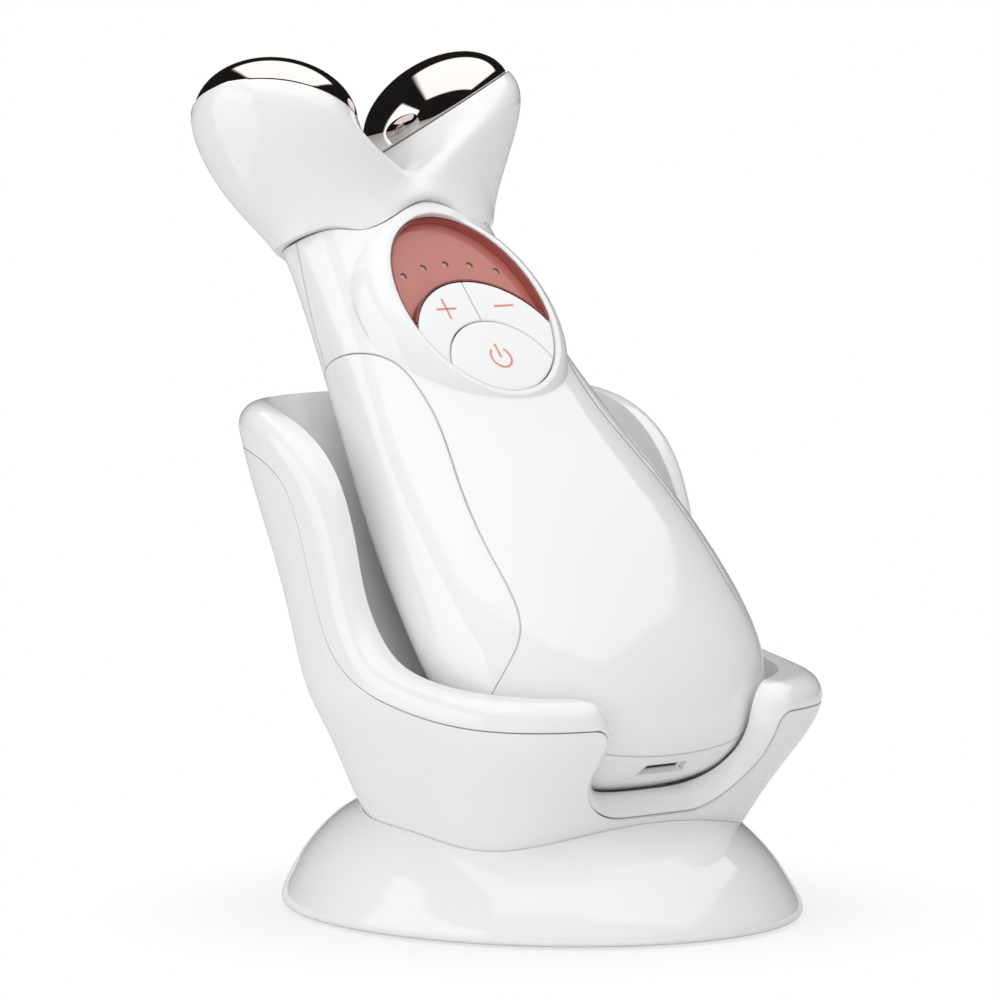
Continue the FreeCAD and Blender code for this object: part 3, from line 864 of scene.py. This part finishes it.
def dome_profile(sizes):
    """A quarter circle at the lower edge, then a quarter ellipse from the rim to the top, where
    a tiny flat closes it."""
    edge = sizes.dome_edge
    low = np.linspace(-np.pi / 2, 0, EDGE_STEPS)
    rise = np.linspace(0, np.pi / 2, CAP_STEPS)[1:]
    centre = sizes.dome_radius - edge
    start = sizes.dome_lift + edge
    foot = np.stack([centre + edge * np.cos(low), start + edge * np.sin(low)], -1)
    height = sizes.dome_height - edge
    cap = np.stack([sizes.dome_radius * np.cos(rise), start + height * np.sin(rise)], -1)
    cap[-1, 0] = TIP_SHARE * sizes.dome_radius
    return np.concatenate([foot, cap])


def stroke(path, width, low, high):
    """A flat stroke: a rectangle of the given width, from depth low to depth high, carried along
    a path in the plane of the keys and square to it."""
    ahead = np.gradient(path, axis=0)
    ahead /= np.linalg.norm(ahead, axis=1, keepdims=True)
    side = np.stack([-ahead[:, 1], ahead[:, 0]], -1) * width / 2
    corners = []
    for turn, depth in ((1, low), (1, high), (-1, high), (-1, low)):
        flat = path + turn * side
        corners.append(np.stack([flat[:, 0], np.full(len(path), depth), flat[:, 1]], -1))
    return np.stack(corners, 1).reshape(-1, 3), closed_faces(len(path), len(corners))


def joined(strokes):
    """Points and faces of several strokes as one."""
    points, faces, offset = [], [], 0
    for some_points, some_faces in strokes:
        points.append(some_points)
        faces.extend([[i + offset for i in face] for face in some_faces])
        offset += len(some_points)
    return np.concatenate(points), faces


def soften(piece):
    """Shades a moulded node smoothly, with its real edges kept sharp."""
    faces = piece.data.polygons
    faces.foreach_set("use_smooth", np.full(len(faces), True))
    weld = piece.modifiers.new("Weld", "WELD")
    weld.merge_threshold = WELD_REACH
    split = piece.modifiers.new("Edges", "EDGE_SPLIT")
    split.split_angle = SHARP_ANGLE


def finish(material, *nodes):
    """Gives nodes of the model a material and smooth shading."""
    for node in nodes:
        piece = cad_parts[node]
        piece.data.materials.clear()
        piece.data.materials.append(material)
        soften(piece)


# Operators

class HANDSET_OT_mouldings(bpy.types.Operator):
    """Finishes the covers, grips and head of the handset"""

    bl_idname = "handset.mouldings"
    bl_label = "Handset Mouldings"

    def execute(self, context):
        sizes = context.scene.handset_sizes
        white = context.scene.finish_colours.white
        covers = gloss_moulding("handset_gloss", white, sizes.cover_edge)
        finish(covers, "front_cover", "back_cover")
        head = gloss_moulding("head_gloss", white, sizes.head_edge, sizes.head_fold)
        finish(head, "head_housing")
        grips = gloss_moulding("grip_gloss", white, sizes.grip_edge)
        finish(grips, "left_grip", "right_grip")
        return {"FINISHED"}


class HANDSET_OT_stand(bpy.types.Operator):
    """Finishes the bowl, base and feet of the stand"""

    bl_idname = "handset.stand"
    bl_label = "Stand"

    def execute(self, context):
        sizes = context.scene.handset_sizes
        colours = context.scene.finish_colours
        gloss = gloss_moulding("stand_gloss", colours.stand, sizes.stand_edge)
        finish(gloss, "outer_shell", "seat_liner", "base_skirt")
        plastic = cloudy_plastic("plate_plastic", colours.inner, roughness=0.45, scale=60.0)
        finish(plastic, "base_plate")
        rubber = cloudy_plastic("foot_rubber", colours.dark, roughness=0.7, scale=200.0)
        finish(rubber, "foot_pads")
        iron = cloudy_plastic("ballast_iron", colours.dark, roughness=0.6, scale=80.0,
                              metallic=1.0)
        finish(iron, "ballast")
        steel = cloudy_plastic("stand_steel", colours.steel, roughness=0.3, scale=300.0,
                               metallic=1.0)
        finish(steel, "seat_screws", "plate_screws")
        return {"FINISHED"}


class HANDSET_OT_inside(bpy.types.Operator):
    """Finishes the pieces inside the handset and head"""

    bl_idname = "handset.inside"
    bl_label = "Inside"

    def execute(self, context):
        colours = context.scene.finish_colours
        mask = cloudy_plastic("board_mask", colours.board, roughness=0.35, scale=150.0)
        finish(mask, "control_board")
        black = cloudy_plastic("switch_black", colours.dark, roughness=0.5, scale=200.0)
        finish(black, "tact_switches")
        plastic = cloudy_plastic("inner_plastic", colours.inner, roughness=0.5, scale=60.0)
        finish(plastic, "inner_frame", "neck_plate", "head_plug")
        foil = cloudy_plastic("cell_foil", colours.steel, roughness=0.35, scale=90.0,
                              metallic=0.8)
        finish(foil, "battery")
        steel = cloudy_plastic("inner_steel", colours.steel, roughness=0.3, scale=300.0,
                               metallic=1.0)
        finish(steel, "case_screws", "charge_socket", "electrode_nuts")
        brass = cloudy_plastic("contact_brass", colours.brass, roughness=0.25, scale=300.0,
                               metallic=1.0)
        finish(brass, "neck_pins")
        jacket = cloudy_plastic("lead_jacket", colours.ink, roughness=0.5, scale=300.0)
        finish(jacket, "head_leads")
        return {"FINISHED"}


class HANDSET_OT_electrodes(bpy.types.Operator):
    """Turns the two chrome electrodes"""

    bl_idname = "handset.electrodes"
    bl_label = "Electrodes"

    def execute(self, context):
        sizes = context.scene.handset_sizes
        chrome = plated_chrome("electrode_chrome", context.scene.finish_colours.chrome)
        points, faces = turned(dome_profile(sizes), sizes.turn_steps)
        for name, side in (("left", -1), ("right", 1)):
            place = handset_place(sizes) @ rim_place(sizes, side)
            dome = outward(add_mesh(name + "_dome", placed(points, place), faces, chrome))
            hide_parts(name + "_electrode")
            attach(dome, "head")
        return {"FINISHED"}


class HANDSET_OT_keys(bpy.types.Operator):
    """Finishes the three keys and prints their signs"""

    bl_idname = "handset.keys"
    bl_label = "Keys"

    def execute(self, context):
        sizes = context.scene.handset_sizes
        colours = context.scene.finish_colours
        caps = gloss_moulding("key_gloss", colours.key, sizes.key_edge)
        finish(caps, "plus_button", "minus_button", "power_button")
        ink = printed_ink("sign_ink", colours.ink)
        low = sizes.key_face + sizes.sign_ink
        high = sizes.key_face - sizes.sign_ink
        half = sizes.sign_length / 2
        reach = np.linspace(-half, half, BAR_STEPS)
        flat = np.zeros(BAR_STEPS)
        across = np.stack([reach, flat], -1)
        upright = np.stack([flat, reach], -1)
        top = np.pi / 2
        sweep = np.linspace(top + sizes.power_gap, top + 2 * np.pi - sizes.power_gap, RING_STEPS)
        ring = sizes.power_ring * np.stack([np.cos(sweep), np.sin(sweep)], -1)
        bar = np.stack([flat, np.linspace(0, sizes.power_bar, BAR_STEPS)], -1)
        signs = {
            "plus": ([across, upright], (-sizes.key_across, sizes.key_up)),
            "minus": ([across], (sizes.key_across, sizes.key_up)),
            "power": ([ring, bar], (0.0, sizes.power_up)),
        }
        for key, (paths, middle) in signs.items():
            points, faces = joined([stroke(path + np.array(middle), sizes.sign_stroke, low, high)
                                    for path in paths])
            points = placed(points, handset_place(sizes))
            sign = outward(add_mesh(key + "_sign", points, faces, ink, smooth=False))
            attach(sign, key + "_key")
        return {"FINISHED"}


class HANDSET_OT_window(bpy.types.Operator):
    """Finishes the tinted window and its lights, and adds painted shade in the gap along the keys
    """

    bl_idname = "handset.window"
    bl_label = "Light Window"

    def execute(self, context):
        sizes = context.scene.handset_sizes
        colours = context.scene.finish_colours
        tint_and_shade = tinted_window("window_tint", colours, sizes)
        finish(tint_and_shade, "light_window")
        lens = cloudy_plastic("light_lens", colours.lens, roughness=0.2, scale=400.0)
        finish(lens, "light_pipes", "light_chips")
        # Painted shade: a dark strip from the window's floor to the key tops, standing in the
        # shaded gap
        turn = np.linspace(-sizes.window_turn, sizes.window_turn, sizes.turn_steps)
        radius = sizes.window_arc + sizes.window_line / 2
        arc = radius * np.stack([np.sin(turn), np.cos(turn)], -1)
        arc += np.array((0.0, sizes.window_arc_up))
        low = sizes.key_face + sizes.window_sink
        high = sizes.key_face + sizes.sign_ink
        points, faces = stroke(arc, sizes.window_line, low, high)
        points = placed(points, handset_place(sizes))
        gap_shade = outward(add_mesh("window_lip", points, faces, tint_and_shade, smooth=False))
        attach(gap_shade, "handset")
        return {"FINISHED"}


# Stage

def towards(turn, rise):
    """Direction to a place turned round the object from the front and raised over the horizon."""
    flat = math.cos(rise)
    return Vector((math.sin(turn) * flat, -math.cos(turn) * flat, math.sin(rise)))


def add_facing(name, data, settings, back, distance):
    """Adds a camera or lamp at a distance along back from the camera's aim, and faces it there."""
    made = bpy.data.objects.new(name, data)
    made.location = Vector(settings.aim) + back * distance
    made.rotation_euler = (-back).to_track_quat("-Z", "Y").to_euler()
    bpy.context.scene.collection.objects.link(made)
    return made


def add_camera(settings):
    """A camera on the line that the view's turn and rise give."""
    data = bpy.data.cameras.new("camera")
    data.lens = settings.lens
    back = towards(settings.view_turn, settings.view_rise)
    bpy.context.scene.camera = add_facing("camera", data, settings, back, settings.distance)


def add_lamp(settings):
    """A square softbox overhead; the studio shows it in reflections."""
    data = bpy.data.lights.new("top_lamp", "AREA")
    data.size = settings.top_side
    data.energy = settings.top_power
    back = towards(settings.view_turn + settings.top_turn, settings.top_rise)
    lamp = add_facing("top_lamp", data, settings, back, settings.top_distance)
    lamp.visible_glossy = False


def camera_frame(s, place, turn):
    """Parts of a place or direction to the camera's left, nearer to the camera, and up."""
    left = s.dot(place, (-math.cos(turn), -math.sin(turn), 0.0))
    ahead = s.dot(place, (math.sin(turn), -math.cos(turn), 0.0))
    return left, ahead, s.dot(place, (0.0, 0.0, 1.0))


def white_world(settings):
    """White to the camera and through clear pieces, and elsewhere a fill light that is stronger
    from the left and from the front."""
    world = bpy.data.worlds.new("studio_white")
    s = Nodes(world, "ShaderNodeOutputWorld")
    direction = s.node("ShaderNodeTexCoord", out="Generated")
    left, ahead, _ = camera_frame(s, direction, settings.view_turn)
    light = (settings.fill + settings.fill_left * left.ramp(0.0, 1.0)
             + settings.fill_front * ahead.ramp(0.0, 1.0))
    seen = s.ray("Camera") + s.ray("Transmission")
    light = light + (1.0 - light) * seen.ramp(0.0, 1.0)
    background = s.node("ShaderNodeBackground", Color=WHITE, Strength=light)
    s.tree.links.new(background.socket, s.output.inputs[0])
    return world


def add_floor(settings):
    """A white floor that keeps the shadow round the base, goes to plain white further out, and
    carries the foot of the left panel in reflections."""
    s = Finish("floor_white")
    s.set(Base_Color=s.mix(s.noise(scale=3.0), rgba(settings.floor, 0.99), rgba(settings.floor)),
          Roughness=0.6)
    outside = s.length(s.place()).ramp(settings.shadow_start, settings.shadow_reach)
    s.glow(1.0, s.ray("Camera") * outside.spread(settings.shadow_white, 1.0))
    left, ahead, _ = camera_frame(s, s.place(), settings.view_turn)
    back, front = settings.panel_ahead
    foot = (ahead / left).within(back, front, settings.panel_edge)
    foot = foot * left.ramp(*settings.panel_foot)
    s.glow(settings.glow, foot * s.ray("Glossy"))
    span = settings.floor_span
    corners = [[-span, -span, 0.0], [span, -span, 0.0], [span, span, 0.0], [-span, span, 0.0]]
    faces = [[0, 1, 2, 3]]
    add_mesh("floor", np.array(corners), faces, s.material, smooth=False)


def add_studio(settings):
    """A dark half sphere, seen in reflections only, with a pale softbox overhead and a tall panel
    at the left."""
    s = Finish("studio_dark")
    left, ahead, up = camera_frame(s, s.place(), settings.view_turn)
    low, high = settings.softbox_across
    near, far = settings.softbox_away
    soft = settings.softbox_edge
    softbox = (left / up).within(-high, -low, soft) * (ahead / up).within(-far, -near, soft)
    back, front = settings.panel_ahead
    bottom, top = settings.panel_up
    soft = settings.panel_edge
    panel = (ahead / left).within(back, front, soft) * (up / left).within(bottom, top, soft)
    panel = panel * left.ramp(*settings.panel_clear)
    light = settings.softbox_share * softbox + panel
    s.set(Base_Color=BLACK, Roughness=1.0, Emission_Strength=settings.glow,
          Emission_Color=s.mix(light, rgba(settings.studio), rgba(settings.softbox)))
    rise, turn = np.meshgrid(np.linspace(0, np.pi / 2, STUDIO_ROWS),
                             np.linspace(0, 2 * np.pi, STUDIO_COLUMNS, endpoint=False),
                             indexing="ij")
    points = np.stack([np.cos(rise) * np.cos(turn), np.cos(rise) * np.sin(turn), np.sin(rise)], -1)
    points = settings.studio_radius * points.reshape(-1, 3)
    studio = add_mesh("studio", points, grid_faces(STUDIO_ROWS, STUDIO_COLUMNS), s.material)
    studio.visible_camera = False
    studio.visible_diffuse = False
    studio.visible_shadow = False
    studio.visible_transmission = False


class HANDSET_OT_stage(bpy.types.Operator):
    """Sets up the camera, the lamps and the pale floor"""

    bl_idname = "handset.stage"
    bl_label = "Stage"

    def execute(self, context):
        settings = context.scene.stage_settings
        context.scene.view_settings.view_transform = "Standard"
        context.scene.world = white_world(settings)
        add_camera(settings)
        add_lamp(settings)
        add_floor(settings)
        add_studio(settings)
        return {"FINISHED"}


class HANDSET_PT_panel(bpy.types.Panel):
    """Lists the steps that finish the handset"""

    bl_idname = "HANDSET_PT_panel"
    bl_label = "Handset"
    bl_space_type = "VIEW_3D"
    bl_region_type = "UI"
    bl_category = "Handset"

    def draw(self, context):
        for step in STEPS:
            self.layout.operator(step.bl_idname)


STEPS = (
    HANDSET_OT_mouldings,
    HANDSET_OT_stand,
    HANDSET_OT_inside,
    HANDSET_OT_electrodes,
    HANDSET_OT_keys,
    HANDSET_OT_window,
    HANDSET_OT_stage,
)
CLASSES = (*SETTINGS.values(), *STEPS, HANDSET_PT_panel)


def register():
    for kind in CLASSES:
        bpy.utils.register_class(kind)
    for name, kind in SETTINGS.items():
        setattr(bpy.types.Scene, name, PointerProperty(type=kind))


def unregister():
    for name in SETTINGS:
        delattr(bpy.types.Scene, name)
    for kind in reversed(CLASSES):
        bpy.utils.unregister_class(kind)


def main():
    register()
    for step in STEPS:
        group, name = step.bl_idname.split(".")
        getattr(getattr(bpy.ops, group), name)()


if __name__ == "__main__":
    main()
